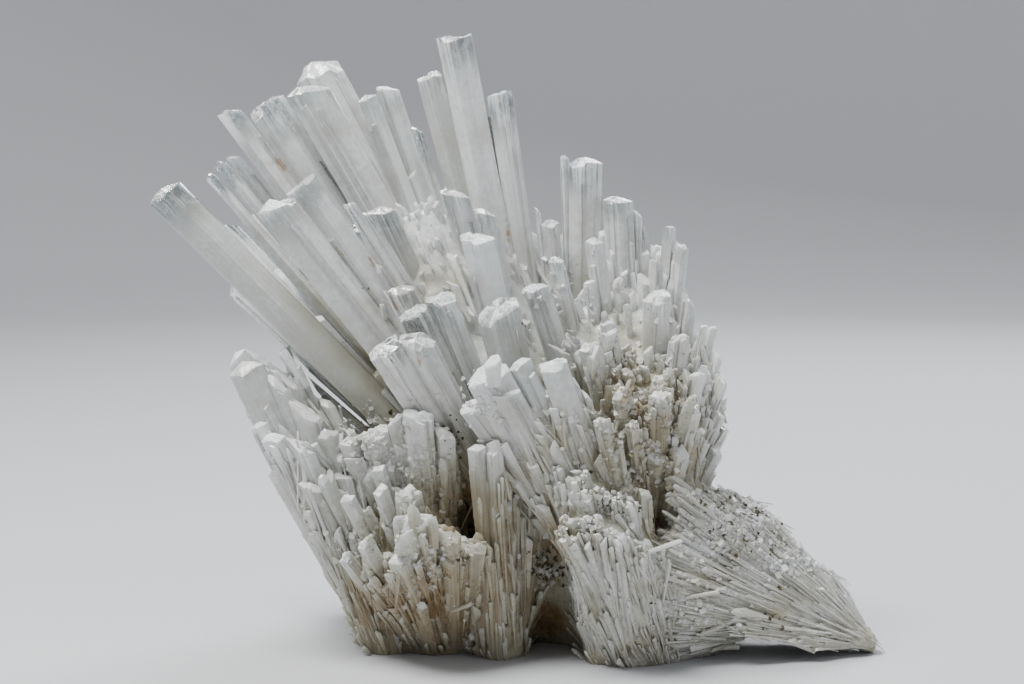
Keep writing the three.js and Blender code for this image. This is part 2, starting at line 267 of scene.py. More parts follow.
def betweenCrystal(spray):
    ends = spray["ends"]
    index = int(draw() * (len(ends) - 1))
    share = drawBetween(*growth["betweenShare"])
    mixed = [a * (1 - share) + b * share for a, b in zip(ends[index], ends[index + 1])]
    half = (mixed[2] - mixed[0]) / 2 * growth["betweenWidth"]
    across = (mixed[0] + mixed[2]) / 2
    away = draw()
    depth = deeper(spray, mixed[4], away)
    corners = ((across - half, mixed[1], depth), (across + half, mixed[3], depth))
    length = drawBetween(*growth["between"])
    root = place(*spray["root"][:2], deeper(spray, spray["root"][2], away))
    return crystalFrom(root, *shortened(root, corners, length, growth["betweenShuffle"]), spray["taper"])


def mainCrystals(spray):
    crystals = []
    for index, end in enumerate(spray["ends"]):
        crystals.append(frontCrystal(spray, end))
        if index % growth["backSkip"] != growth["backSkip"] - 1:
            crystals.append(backCrystal(spray, end))
    for _ in range(spray["between"]):
        crystals.append(betweenCrystal(spray))
    return crystals


# meshes are gathered as lists of points and faces, with values for the finish
pointLabels = ("points", "grain", "clear", "frost", "deep", "shade")


def emptyStore():
    return {label: [] for label in pointLabels} | {"faces": [], "count": 0}


def addPoints(store, points, grain, clear, frost, deep, shades=(0.0, 1.0)):
    # the shade is one random number for each crystal
    first = store["count"]
    shade = np.full(len(points), chance.uniform(*shades))
    for label, numbers in zip(pointLabels, (points, grain, clear, frost, deep, shade)):
        store[label].append(numbers)
    store["count"] += len(points)
    return first


def addRows(store, rows, shades=(0.0, 1.0)):
    # rings of points, each with its values
    return addPoints(store, *[np.concatenate([row[item] for row in rows]) for item in range(5)], shades)


def addRings(store, first, around, rings):
    for ring in range(rings - 1):
        low = first + ring * around
        for step in range(around):
            after = (step + 1) % around
            store["faces"].append((low + step, low + after, low + around + after, low + around + step))


def aboveTable(root, along, across, heights):
    # heights along a crystal, none of them under the table
    if along[2] < 0.05:
        return heights
    return np.maximum(heights, -(root[2] + across[:, 2]) / along[2])


chance = np.random.default_rng(1503)

# how the prisms are cut: samples to an edge, grooves along the faces, and steps of the broken end
stoutLook = {
    "samples": 4, "groove": 0.025, "deepGroove": 0.09, "deepShare": 0.1, "bevel": 0.03, "step": 0.22,
}
slimLook = {"samples": 3, "groove": 0.03, "deepGroove": 0.1, "deepShare": 0.1, "bevel": 0.04, "step": 0.25}
ribLook = {"samples": 2, "groove": 0.02, "deepGroove": 0.0, "deepShare": 0.0, "bevel": 0.03, "step": 0.3}
slabLook = stoutLook | {"groove": 0.015, "deepGroove": 0.05, "bevel": 0.02, "step": 0.06}
ringsFromTip = ((14.0, 0.28), (6.0, 0.14), (2.0, 0.05))  # mm, or this share of a short crystal
endLook = {
    "cells": 0.6, "widest": 8,  # steps to a mm of width, up to this width
    "uneven": 1.6, "lean": 0.1, "dome": 1.6,
    "clearLength": (0.6, 1.2), "white": (0.25, 1.0), "rimFrost": 0.4, "rings": (0.86, 0.45),
}


def sectionCorners(width, shift):
    if width < growth["stout"]:
        return [(1, 0), (shift, 1), (-1, 0), (-shift, -1)]
    return [(1, -0.5), (1, 0.5), (shift, 1), (-1, 0.5), (-1, -0.5), (-shift, -1)]


def outline(width, shift, look):
    corners = np.array(sectionCorners(width, shift), float)
    points = []
    for index in range(len(corners)):
        here, after = corners[index], corners[(index + 1) % len(corners)]
        for step in range(look["samples"]):
            share = step / look["samples"]
            inward = look["bevel"] if step == 0 else chance.random() * look["groove"]
            if step and chance.random() < look["deepShare"]:
                inward += look["deepGroove"] * chance.uniform(0.5, 1)
            points.append((here * (1 - share) + after * share) * (1 - inward))
    return np.array(points)


def addPrism(store, crystal, look, clear, spot=(0.0, 0.0), size=1.0, drop=0.0):
    # a prism, or with spot and size a smaller one that runs along it
    shape = outline(crystal["width"] * size, crystal["shift"], look)
    around = len(shape)
    length = float(np.linalg.norm(crystal["end"] - crystal["root"])) - drop
    half = np.array((crystal["width"], crystal["thickness"])) / 2
    count = int(2 + min(crystal["width"] * size, endLook["widest"]) * endLook["cells"])
    cells = chance.uniform(-0.9, 0.9, (count, 2))
    drops = chance.random(count) ** endLook["uneven"] * look["step"] * crystal["width"] * size
    drops -= drops.min()
    leans = chance.uniform(-endLook["lean"], endLook["lean"], (count, 2)) * crystal["width"] * size

    def endHeight(spots, radius):
        nearest = ((spots[:, None, :] - cells[None]) ** 2).sum(2).argmin(1)
        height = -drops[nearest] + ((spots - cells[nearest]) * leans[nearest]).sum(1)
        return height + crystal["cap"] * size * (1 - radius ** endLook["dome"])

    identity = chance.uniform(-60, 60)
    clearLength = chance.uniform(*endLook["clearLength"]) * crystal["clearLength"]
    white = chance.uniform(*endLook["white"]) * crystal.get("white", 1.0)
    rows = []

    def addRing(spots, scale, heights, frost):
        flat = (spots * size + np.array(spot)) * half * scale
        heights = heights + (flat[:, 0] / half[0] * crystal["slant"] / 2 if frost > 0 else 0)
        across = np.outer(flat[:, 0], crystal["side"]) + np.outer(flat[:, 1], crystal["front"])
        heights = aboveTable(crystal["root"], crystal["along"], across, heights)
        ring = crystal["root"] + np.outer(heights, crystal["along"]) + across
        grain = np.stack((flat[:, 0] + identity, flat[:, 1] - identity, heights), 1)
        clearness = clear * np.clip(1.15 - (length - heights) / clearLength, 0, 1)
        deep = np.clip(1 - heights / (length + drop), 0, 1)
        rows.append((ring, grain, clearness, np.full(len(spots), frost * white), deep))

    tipShares = [1 - min(far, length * part) / length for far, part in ringsFromTip]
    rim = endHeight(shape, 1.0)
    for share in [0.0, 0.4] + tipShares:
        reach = length * (crystal["start"] + (1 - crystal["start"]) * share)
        scale = crystal["taper"] + (1 - crystal["taper"]) * share
        addRing(shape, scale, np.full(around, reach), 0.0)
    addRing(shape, 1.0, length + rim, endLook["rimFrost"])
    for radius in endLook["rings"]:
        addRing(shape * radius, 1.0, length + endHeight(shape * radius, radius), 1.0)
    centre = np.zeros((1, 2))
    addRing(centre, 1.0, length + endHeight(centre, 0.0), 1.0)
    addRing(centre, crystal["taper"], np.array((length * crystal["start"],)), 0.0)
    first = addRows(store, rows)
    rings = len(rows) - 2
    addRings(store, first, around, rings)
    tip = first + rings * around
    last = tip - around
    for step in range(around):
        after = (step + 1) % around
        store["faces"].append((last + step, last + after, tip))
        store["faces"].append((first + after, first + step, tip + 1))


# narrower crystals in one: how many, their share of the width, how far out, and how far the ends drop back
sheafLook = {
    "least": 7, "more": 1.6, "size": (0.2, 0.42), "turn": 2.4, "out": 1.03, "drop": 2.0,
    "start": (0.2, 0.6), "jitter": 0.008,
}
bundleLook = {
    "count": (2, 4), "stoutMore": 2, "size": (0.22, 0.5), "out": 1.035, "drop": 2.4, "leastDrop": 0.04,
}


def addFibres(store, crystal, clear):
    # a crystal that is a sheaf of thin ones with a ragged end
    count = int(sheafLook["least"] + crystal["width"] * sheafLook["more"])
    for index in range(count):
        size = chance.uniform(*sheafLook["size"])
        angle = index * sheafLook["turn"]
        spread = math.sqrt((index + 0.5) / count)
        spot = np.array((math.cos(angle), math.sin(angle))) * spread * (sheafLook["out"] - size)
        drop = crystal["width"] * (chance.random() ** 2 * sheafLook["drop"])
        start = chance.uniform(*sheafLook["start"])
        along = unit(crystal["along"] + chance.normal(size=3) * sheafLook["jitter"])
        thin = dict(crystal, start=start, along=along)
        addPrism(store, thin, ribLook, clear, spot, size, 0.0 if index == 0 else drop)


def addBundle(store, crystal, clear, look=None):
    # the prism and the narrower ones that it is grown together from
    stoutOne = crystal["width"] >= growth["stout"]
    addPrism(store, crystal, look or (stoutLook if stoutOne else slimLook), clear)
    for _ in range(int(chance.integers(*bundleLook["count"])) + int(stoutOne) * bundleLook["stoutMore"]):
        size = chance.uniform(*bundleLook["size"])
        room = bundleLook["out"] - size
        angle = chance.uniform(0, 2 * math.pi)
        spot = np.clip(np.array((math.cos(angle), math.sin(angle))) * 1.2, -1, 1) * room
        spot[1] *= 0.5 + 0.5 * (1 - abs(spot[0]))
        drop = crystal["width"] * (chance.random() ** 2 * bundleLook["drop"] + bundleLook["leastDrop"])
        addPrism(store, crystal, ribLook, clear, spot, size, drop)


# thin crystals: the share with a blunt end, height of the end in widths, and width of its tip
needleLook = {
    "sides": (4, 7), "flatness": (0.4, 1), "lean": 1.0,
    "blunt": 0.6, "bluntPeak": (0.0, 0.12), "bluntTip": (0.9, 0.85),
    "sharpPeak": (0.3, 1.0), "sharpTip": ((0.5, 0.9), (0.05, 0.5)), "rimFrost": 0.3, "tipFrost": 0.9,
}


def addNeedle(store, root, end, width, start, deepest=1.0, narrow=0.75, shades=(0.0, 1.0)):
    # a thin crystal with four to six sides and a blunt, slanting or chisel-shaped end
    along = unit(end - root)
    side = unit(np.cross(along, (0.1, 1, 0.05)) + chance.normal(size=3) * 0.25)
    side = unit(side - along * (side @ along))
    front = np.cross(side, along)
    look = needleLook
    sides = int(chance.integers(*look["sides"]))
    angles = (np.arange(sides) + chance.uniform(-0.15, 0.15, sides)) * 2 * math.pi / sides
    flat = np.stack((np.cos(angles), np.sin(angles) * chance.uniform(*look["flatness"])), 1) * width / 2
    length = float(np.linalg.norm(end - root))
    lean = chance.uniform(-look["lean"], look["lean"], 2)
    identity = chance.uniform(-60, 60)
    blunt = chance.random() < look["blunt"]
    peak = width * chance.uniform(*look["bluntPeak" if blunt else "sharpPeak"])
    tip = look["bluntTip"] if blunt else [chance.uniform(*span) for span in look["sharpTip"]]
    white = chance.random() ** 2
    base = (start, np.array((narrow, narrow)), 0, 0.0)
    rim = (1, np.ones(2), 1, white * look["rimFrost"])
    top = (1, np.array(tip), 1.05, white * look["tipFrost"])
    rows = []
    for share, scale, lift, frost in (base, rim, top):
        shape = flat * scale
        heights = length * share + lift * (shape @ lean) + (peak if lift > 1 else 0)
        across = np.outer(shape[:, 0], side) + np.outer(shape[:, 1], front)
        heights = aboveTable(root, along, across, heights)
        ring = root + np.outer(heights, along) + across
        grain = np.stack((shape[:, 0] + identity, shape[:, 1] - identity, heights), 1)
        deep = np.full(sides, deepest * (1 - share))
        rows.append((ring, grain, np.zeros(sides), np.full(sides, frost), deep))
    first = addRows(store, rows, shades)
    addRings(store, first, sides, 3)
    store["faces"].append(tuple(first + 2 * sides + step for step in range(sides)))
    store["faces"].append(tuple(first + step for step in reversed(range(sides))))


# painted shade, tinted yellowish: towards the root, and growing downwards from half of this height
paintedShadeLook = {"free": 0.1, "deep": 0.3, "low": 0.85, "height": 110, "shallow": 0.35}
# painted shade in the recesses, yellowish to brownish, as seen from the front: across, up, radius, strength
paintedShadePlaces = [
    (-11, 30, 9, 1.3), (18, 55, 5.5, 1.1), (-30, 57, 9, 0.7), (-26, 72, 7, 0.5), (-18, 76, 8, 0.45),
    (26, 40, 11, 0.75), (38, 17, 7, 0.4), (-18, 12, 12, 0.9), (-30, 12, 6, 0.7), (-16, 46, 4, 0.8),
    (8, 24, 4.5, 1.1), (50, 8.5, 2.5, 0.5), (5.6, 8, 4, 1.3), (27, 26, 3, 0.8), (-3, 18, 5, 0.8),
    (22, 68, 9, 0.3), (30, 52, 9, 0.55), (4, 44, 5, 0.5), (-12, 22, 34, 0.35), (26, 50, 18, 0.6),
]
# painted shade in the recesses at the back, by place across and height: across, up, radius, strength
backPaintedShadePlaces = [
    (-20, 40, 16, 0.9), (14, 30, 12, 1.1), (30, 52, 12, 0.7), (0, 66, 10, 0.6), (48, 12, 8, 0.7),
]


def seenFromFront(points):
    tilt = view["tilt"]
    deep = points[:, 1] + middleDeep
    rise = points[:, 2] - view["aimUp"]
    span = view["distance"] + deep * math.cos(tilt) - rise * math.sin(tilt)
    side = points[:, 0] + middleAcross - view["aimAcross"]
    across = view["aimAcross"] + side * view["distance"] / span
    up = view["aimUp"] + (rise * math.cos(tilt) + deep * math.sin(tilt)) * view["distance"] / span
    return across, up


# painted shade for each point: darker and more yellowish towards the roots, low down and in the listed
# recesses
def paintedShadeOf(points, deep):
    across, up = seenFromFront(points)
    low = np.clip(0.5 - up / paintedShadeLook["height"], 0, 0.5) * paintedShadeLook["low"]
    paintedShade = np.clip(deep - paintedShadeLook["free"], 0, 1) * paintedShadeLook["deep"] + low
    facing = np.clip(0.5 - (points[:, 1] - 2) / 16, 0, 1)  # 1 at the front, 0 at the back
    for x, z, radius, strength in paintedShadePlaces:
        near = np.exp(-((across - x) ** 2 + (up - z) ** 2) / radius ** 2)
        paintedShade += strength * facing * near * (paintedShadeLook["shallow"] + deep)
    for x, z, radius, strength in backPaintedShadePlaces:
        near = np.exp(-((points[:, 0] - x) ** 2 + (points[:, 2] - z) ** 2) / radius ** 2)
        paintedShade += strength * (1 - facing) * near * (paintedShadeLook["shallow"] + deep)
    return paintedShade


def linked(name, data):
    made = bpy.data.objects.new(name, data)
    bpy.context.scene.collection.objects.link(made)
    return made


def makeObject(name, store, material, deepest=1.0):
    mesh = bpy.data.meshes.new(name)
    points = np.concatenate(store["points"])
    values = {label: np.concatenate(store[label]) for label in ("grain", "clear", "frost", "shade")}
    # the painted shade is kept on each point for the finish
    values["paintedShade"] = paintedShadeOf(points, np.concatenate(store["deep"]) * deepest)
    points[:, 2] = np.maximum(points[:, 2], 0.0)
    mesh.from_pydata((points * metre).tolist(), [], store["faces"])
    for label, numbers in values.items():
        vector = numbers.ndim == 2
        layer = mesh.attributes.new(label, "FLOAT_VECTOR" if vector else "FLOAT", "POINT")
        layer.data.foreach_set("vector" if vector else "value", numbers.astype(np.float32).ravel())
    mesh.update()
    mesh.materials.append(material)
    piece = linked(name, mesh)
    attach(piece, "root")
    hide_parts("scolecite_cluster")
    return piece


# finish
def node(tree, kind, inputs=(), **values):
    made = tree.nodes.new(kind)
    for name, value in values.items():
        setattr(made, name, value)
    for name, value in dict(inputs).items():
        if isinstance(value, bpy.types.NodeSocket):
            tree.links.new(value, made.inputs[name])
        else:
            made.inputs[name].default_value = value
    return made


scoleciteLook = {
    # the darker yellowish and brownish colours here are painted shade in recesses and low parts
    "white": (0.75, 0.775, 0.775, 1), "grey": (0.51, 0.53, 0.51, 1), "shadeBeige": (0.39, 0.365, 0.27, 1),
    "shadeBrown": (0.20, 0.13, 0.06, 1), "bright": (0.86, 0.89, 0.91, 1), "orange": (0.36, 0.18, 0.05, 1),
    "striation": 0.00014, "pits": 0.00016, "frost": 0.00016,  # depth of the relief, in metres
    "smooth": 0.17, "clear": 0.06, "clearest": 0.93, "index": 1.52,
    "milk": 0.3, "milkDepth": 0.003,  # light that spreads inside a milky crystal, and how far in metres
    "milkColours": (0.8, 0.95, 1.0),
    "absorb": (0.90, 0.93, 0.95, 1), "absorbDensity": 14.0,
}


# orange streaks: across, up, depth, lean to the right in degrees, half length and half width
stains = [
    (-48, 99, -4, -38, 2.4, 0.4), (-35.4, 82, -4, -38, 2.2, 0.35), (-29.6, 80.4, -4, -30, 1.8, 0.4),
    (-2.4, 85, -3, -8, 2.6, 0.4), (-13, 76, -12, -14, 1.4, 0.4), (-25, 72, -10, -22, 2.0, 0.5),
    (-40, 92, -4, -36, 1.6, 0.3), (20, 74, -8, -4, 1.8, 0.4), (-20, 60, -20, -20, 1.6, 0.5),
]
stainDepth = 9  # half of how deep they go


def rangeOf(tree, value, low, high, toLow, toHigh):
    inputs = {"Value": value, "From Min": low, "From Max": high, "To Min": toLow, "To Max": toHigh}
    return node(tree, "ShaderNodeMapRange", inputs).outputs["Result"]


def mathOf(tree, operation, *numbers, clamp=False):
    inputs = dict(enumerate(numbers))
    return node(tree, "ShaderNodeMath", inputs, operation=operation, use_clamp=clamp).outputs["Value"]


def mixOf(tree, share, first, second):
    made = node(tree, "ShaderNodeMix", {0: share, 6: first, 7: second}, data_type="RGBA")
    return made.outputs[2]


def valueOf(tree, label, output="Fac"):
    return node(tree, "ShaderNodeAttribute", attribute_name=label).outputs[output]


def noiseOf(tree, where, scale, detail, roughness=0.5):
    inputs = {"Vector": where, "Scale": scale, "Detail": detail, "Roughness": roughness}
    return node(tree, "ShaderNodeTexNoise", inputs).outputs["Fac"]


def bumpOf(tree, height, strength, distance, under=None):
    inputs = {"Height": height, "Strength": strength, "Distance": distance}
    if under is not None:
        inputs["Normal"] = under
    return node(tree, "ShaderNodeBump", inputs).outputs["Normal"]


def newMaterial(name):
    material = bpy.data.materials.new(name)
    material.use_nodes = True
    tree = material.node_tree
    return material, tree, tree.nodes["Principled BSDF"].inputs


def scolecite(name, seeThrough):
    material, tree, shader = newMaterial(name)
    look = scoleciteLook
    grain = valueOf(tree, "grain", "Vector")
    paintedShade, frost, shade = (valueOf(tree, label) for label in ("paintedShade", "frost", "shade"))
    place3d = node(tree, "ShaderNodeTexCoord").outputs["Object"]

    # stripes run along the crystals, the other patterns are in place, coarse to fine
    along = node(tree, "ShaderNodeMapping", {"Vector": grain, "Scale": (1.7, 1.7, 0.05)}).outputs["Vector"]
    stripes = noiseOf(tree, along, 1.0, 7.0, 0.62)
    clouds = noiseOf(tree, place3d, 130.0, 3.0)
    mottle = noiseOf(tree, place3d, 850.0, 4.0, 0.65)
    grains = noiseOf(tree, place3d, 2200.0, 2.0)

    striated = bumpOf(tree, stripes, 0.9, look["striation"])
    pitted = bumpOf(tree, mottle, 0.8, look["pits"], striated)
    frosted = mathOf(tree, "MULTIPLY", grains, rangeOf(tree, frost, 0, 1, 0.1, 1.0))
    tree.links.new(bumpOf(tree, frosted, 0.9, look["frost"], pitted), shader["Normal"])

    cloudy = rangeOf(tree, clouds, 0.3, 0.7, -0.22, 0.22)
    lined = rangeOf(tree, stripes, 0.3, 0.7, -0.10, 0.10)
    # painted shade in recesses and low parts, broken up by clouds
    paintedShadeCloud = mathOf(tree, "ADD", paintedShade, cloudy)
    tone = mathOf(tree, "ADD", paintedShadeCloud, lined, clamp=True)
    shadeLine = mathOf(tree, "ADD", shade, rangeOf(tree, stripes, 0.3, 0.7, -0.25, 0.25))
    shadeLine = mathOf(tree, "ADD", shadeLine, rangeOf(tree, mottle, 0.3, 0.7, -0.3, 0.3))
    pale = mixOf(tree, rangeOf(tree, shadeLine, 0.0, 0.8, 0, 1), look["grey"], look["white"])
    # painted shade turns the colour yellowish, and brownish where it is deepest
    bodied = mixOf(tree, rangeOf(tree, tone, 0.0, 0.75, 0, 1), pale, look["shadeBeige"])
    shadeBrowned = mixOf(tree, rangeOf(tree, paintedShadeCloud, 0.7, 1.6, 0, 1), bodied, look["shadeBrown"])
    colour = mixOf(tree, rangeOf(tree, frost, 0.2, 1.0, 0, 0.6), shadeBrowned, look["bright"])
    for across, up, deep, angle, length, width in stains:
        inputs = {
            "Vector": place3d,
            "Location": place(across, up, deep) * metre,
            "Rotation": (0, math.radians(angle), 0),
            "Scale": (width * metre, stainDepth * metre, length * metre),
        }
        moved = node(tree, "ShaderNodeMapping", inputs, vector_type="TEXTURE").outputs["Vector"]
        away = node(tree, "ShaderNodeVectorMath", {0: moved}, operation="LENGTH").outputs["Value"]
        ragged = mathOf(tree, "ADD", away, rangeOf(tree, mottle, 0.3, 0.7, -0.5, 0.5))
        colour = mixOf(tree, rangeOf(tree, ragged, 0.4, 1.1, 0.85, 0.0), colour, look["orange"])
    tree.links.new(colour, shader["Base Color"])

    dull = rangeOf(tree, mottle, 0.35, 0.65, look["smooth"] - 0.07, look["smooth"] + 0.2)
    dull = mathOf(tree, "MULTIPLY_ADD", frost, 0.26, dull)
    if seeThrough:
        streaks = rangeOf(tree, mathOf(tree, "ADD", stripes, clouds), 0.86, 1.06, 0.2, 1.0)
        veils = rangeOf(tree, mottle, 0.3, 0.5, 0.5, 1.0)
        veiled = mathOf(tree, "MULTIPLY", streaks, veils)
        share = mathOf(tree, "MULTIPLY", valueOf(tree, "clear"), veiled, clamp=True)
        clearness = rangeOf(tree, share, 0.1, 0.9, 0.0, look["clearest"])
        tree.links.new(clearness, shader["Transmission Weight"])
        dull = rangeOf(tree, share, 0.0, 0.6, look["smooth"], look["clear"])
        dull = mathOf(tree, "MULTIPLY_ADD", frost, 0.25, dull)
        absorb = node(tree, "ShaderNodeVolumeAbsorption")
        absorb.inputs["Color"].default_value = look["absorb"]
        absorb.inputs["Density"].default_value = look["absorbDensity"]
        tree.links.new(absorb.outputs["Volume"], tree.nodes["Material Output"].inputs["Volume"])
    tree.links.new(dull, shader["Roughness"])
    shader["IOR"].default_value = look["index"]
    shader["Subsurface Weight"].default_value = look["milk"]
    shader["Subsurface Radius"].default_value = look["milkColours"]
    shader["Subsurface Scale"].default_value = look["milkDepth"]
    return material


# the milky body between the crystals of the tall fan, by its corners
milkyLump = [
    (-34, 80, -4), (-30, 88, -3), (-20, 91, -3.5), (-11, 90, -3), (-7, 82, -4),
    (-27, 60, -9), (-14, 58, -10), (-31, 86, 6), (-11, 88, 6), (-18, 64, 8),
]

# the intergrown mass that the crystals stand out of
massLook = {
    "pitch": 0.85,              # of the grid, in mm
    "low": (-76.0, -43.0, -3.0), "high": (76.0, 43.0, 127.0),
    "fanFrom": (27.0, -4.0, 6.0),  # where the front foot's fibres come from
    "closing": 3,               # steps that close the clefts between crystals
    "smoothing": 2,             # rounds that even out the steps of the grid
    "ribs": 16.0, "ribHeight": 1.0, "lumps": 0.35, "lumpHeight": 0.5,
    "thinnest": 0.45,           # least half width of a shrunken crystal
    "frost": 0.1, "shade": (0.35, 0.36), "deepest": 0.6, "stripes": (50, 40),
    "reach": {
        "leftFan": 0.6, "tallFan": 0.66, "crest": 0.82, "rightSide": 0.9, "centreSpray": 0.86,
        "frontFoot": 0.95, "middleFoot": 0.93, "leftSpray": 0.96, "ledges": 0.93, "wing": 0.97,
    },
    "shrink": {
        "leftFan": 0.6, "tallFan": 0.6, "crest": 0.5, "rightSide": 0.35, "centreSpray": 0.3,
        "frontFoot": 0.25, "middleFoot": 0.3, "leftSpray": 0.2, "ledges": 0.35, "wing": -0.1,
    },
}


def hullOf(points):
    form = bmesh.new()
    for point in points:
        form.verts.new(point)
    hull = bmesh.ops.convex_hull(form, input=form.verts)
    spare = hull["geom_interior"] + hull["geom_unused"]
    spare = {item for item in spare if isinstance(item, bmesh.types.BMVert)}
    bmesh.ops.delete(form, geom=list(spare), context="VERTS")
    return form


def heartPoints(spray):
    root, farRoot = place(*spray["root"]), farRootOf(spray)
    half = spray["rootWidth"] / 2
    points = [root + np.array((0, -half / 2, 0)), farRoot + np.array((0, half / 2, 0))]
    for sign in (-1, 1):
        for base in (root, farRoot):
            points.append(base + np.array((sign * half, 0, 0)))
    for left, leftUp, right, rightUp, depth in spray["ends"]:
        middle = ((left + right) / 2, (leftUp + rightUp) / 2)
        points.append(place(*middle, depth) * spray["heart"] + root * (1 - spray["heart"]))
        far = place(*middle, 2 * spray["middle"] - depth)
        points.append(far * spray["heart"] + farRoot * (1 - spray["heart"]))
    return points


def gridPart(low, high):
    # the part of the grid inside a box, and where its points are
    pitch, start = massLook["pitch"], np.array(massLook["low"])
    first = np.maximum(((low - start) / pitch).astype(int), 0)
    last = np.minimum(((high - start) / pitch).astype(int) + 2, gridSize)
    part = tuple(slice(a, b) for a, b in zip(first, last))
    ways = [start[axis] + pitch * np.arange(first[axis], last[axis]) for axis in range(3)]
    return part, np.stack(np.meshgrid(*ways, indexing="ij"), -1)


def fillPrism(labels, crystal, reach, shrink, label):
    length = float(np.linalg.norm(crystal["end"] - crystal["root"])) * reach
    far = crystal["root"] + crystal["along"] * length
    room = max(crystal["width"], crystal["thickness"]) / 2
    low = np.minimum(crystal["root"], far) - room
    part, spots = gridPart(low, np.maximum(crystal["root"], far) + room)
    away = spots - crystal["root"]
    height = away @ crystal["along"]
    share = np.clip(height / length * reach, 0, 1)
    scale = crystal["taper"] + (1 - crystal["taper"]) * share
    thinnest = massLook["thinnest"]
    across = np.abs(away @ crystal["side"]) / (max(crystal["width"] / 2 - shrink, thinnest) * scale)
    forward = np.abs(away @ crystal["front"]) / (max(crystal["thickness"] / 2 - shrink, thinnest) * scale)
    if crystal["width"] < growth["stout"]:
        within = across + forward < 1.1
    else:
        within = (across < 1) & (forward + across * 0.5 < 1)
    labels[part][within & (height > 0) & (height < length)] = label


def fillHull(labels, points, label):
    form = hullOf(points)
    spots3d = np.array(points)
    part, spots = gridPart(spots3d.min(0), spots3d.max(0))
    within = np.ones(spots.shape[:3], bool)
    for face in form.faces:
        within &= (spots - np.array(face.verts[0].co)) @ np.array(face.normal) < -0.5
    form.free()
    region = labels[part]
    region[within & (region == 0)] = label


def spread(labels):
    grown = labels.copy()
    for axis in range(3):
        for step in (-1, 1):
            moved = np.roll(labels, step, axis)
            grown = np.where(grown == 0, moved, grown)
    return grown


def shrinkOnce(inside):
    smaller = inside.copy()
    for axis in range(3):
        for step in (-1, 1):
            smaller &= np.roll(inside, step, axis)
    return smaller


def netOf(field):
    # a smooth quad mesh where the field passes zero
    totals, corners, flips = [], [], []
    inside = field > 0
    for axis in range(3):
        first = np.moveaxis(field, axis, 0)[:-1]
        second = np.moveaxis(field, axis, 0)[1:]
        crossing = (first > 0) != (second > 0)
        where = np.argwhere(crossing)
        before, after = first[crossing], second[crossing]
        others = [item for item in range(3) if item != axis]
        index = np.zeros_like(where)
        index[:, axis], index[:, others[0]], index[:, others[1]] = where[:, 0], where[:, 1], where[:, 2]
        point = index.astype(float)
        point[:, axis] += before / (before - after)
        cells = []
        for one, two in ((0, 0), (-1, 0), (-1, -1), (0, -1)):
            cell = index.copy()
            cell[:, others[0]] += one
            cell[:, others[1]] += two
            cells.append(np.ravel_multi_index(cell.T, field.shape, mode="clip"))
        corners.append(np.stack(cells, 1))
        totals.append(np.repeat(point[:, None], 4, 1))
        flips.append((before > 0) == (axis != 1))
    corners, totals, flips = np.concatenate(corners), np.concatenate(totals), np.concatenate(flips)
    inverse = np.unique(corners, return_inverse=True)[1].reshape(-1)
    flat = totals.reshape(-1, 3)
    count = np.bincount(inverse)
    spots = np.stack([np.bincount(inverse, flat[:, axis]) / count for axis in range(3)], 1)
    quads = inverse.reshape(-1, 4)
    quads = np.where(flips[:, None], quads[:, ::-1], quads)
    return spots, quads


